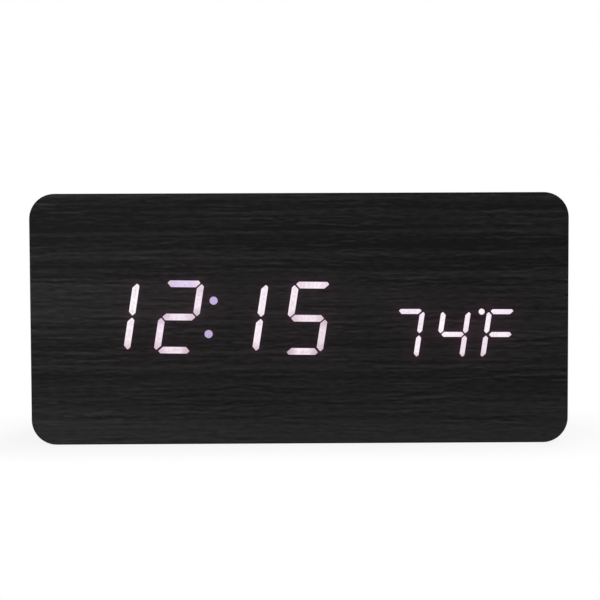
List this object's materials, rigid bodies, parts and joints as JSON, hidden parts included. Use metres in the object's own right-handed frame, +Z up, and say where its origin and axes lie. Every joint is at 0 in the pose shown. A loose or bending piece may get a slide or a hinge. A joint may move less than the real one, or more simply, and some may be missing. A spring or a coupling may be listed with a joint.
{
  "type": "digital led desk clock",
  "caption": "Rounded-corner block clock in black wood grain. Slanted time and temperature figures shine through the front; buttons, power socket and battery door are on the back.",
  "frame": {"origin": "middle of the flat base, under the middle of the case", "axes": "+Z up; the lit front faces -Y; +X is to the right as seen from the front"},
  "size_m": [0.15, 0.045, 0.07],
  "materials": {
    "veneer": "satin black wood grain",
    "fibreboard": "raw dyed fibreboard",
    "lit_resin": "clear resin, lit from behind",
    "dark_resin": "smoked resin, unlit",
    "white_plastic": "moulded",
    "led": "phosphor",
    "circuit_board": "solder resist",
    "black_plastic": "fine spark texture",
    "chip_plastic": "moulded epoxy",
    "screw_steel": "black zinc",
    "bright_steel": "nickel plated",
    "cell_label": "printed sleeve",
    "red_insulation": "flexible sleeve",
    "black_insulation": "flexible sleeve",
    "ribbon": "flexible sleeve",
    "capacitor_sleeve": "shrink sleeve",
    "sensor_epoxy": "dipped epoxy"
  },
  "bodies": {
    "clock": {"front_veneer": "veneer", "wrap_veneer": "veneer", "front_panel": "fibreboard", "wood_case": "fibreboard", "time_light_guides_lit": "lit_resin", "time_light_guides_dark": "dark_resin", "colon_light_guides": "lit_resin", "temperature_light_guides_lit": "lit_resin", "temperature_light_guides_dark": "dark_resin", "time_reflector": "white_plastic", "temperature_reflector": "white_plastic", "time_leds": "led", "temperature_leds": "led", "display_board": "circuit_board", "display_board_screws": "bright_steel", "clock_chip": "chip_plastic", "driver_chips": "chip_plastic", "quartz_crystal": "bright_steel", "smoothing_capacitor": "capacitor_sleeve", "ribbon_sockets": "chip_plastic", "ribbon_cable": "ribbon", "control_board": "circuit_board", "control_board_screws": "bright_steel", "tact_switch_bodies": "chip_plastic", "power_socket": "bright_steel", "socket_tongue": "chip_plastic", "buzzer": "chip_plastic", "temperature_sensor": "sensor_epoxy", "rear_cover": "black_plastic", "rear_cover_screws": "screw_steel", "battery_box": "black_plastic", "battery_cells": "cell_label", "battery_contacts": "bright_steel", "battery_springs": "bright_steel", "battery_lead_red": "red_insulation", "battery_lead_black": "black_insulation"},
    "battery_door": {"battery_door": "black_plastic"},
    "set_button": {"set_button": "black_plastic", "set_plunger": "white_plastic"},
    "up_button": {"up_button": "black_plastic", "up_plunger": "white_plastic"},
    "down_button": {"down_button": "black_plastic", "down_plunger": "white_plastic"}
  },
  "joints": [
    {"name": "battery_door_hinge", "type": "hinge", "parent": "clock", "child": "battery_door", "pos_m": [0.05485, 0.021, 0.035], "axis": [0, 0, -1], "range_deg": [0, 70]},
    {"name": "set_button_press", "type": "slide", "parent": "clock", "child": "set_button", "axis": [0, -1, 0], "range_m": [0, 0.0004], "stiffness_N_per_m": 3000},
    {"name": "up_button_press", "type": "slide", "parent": "clock", "child": "up_button", "axis": [0, -1, 0], "range_m": [0, 0.0004], "stiffness_N_per_m": 3000},
    {"name": "down_button_press", "type": "slide", "parent": "clock", "child": "down_button", "axis": [0, -1, 0], "range_m": [0, 0.0004], "stiffness_N_per_m": 3000}
  ]
}
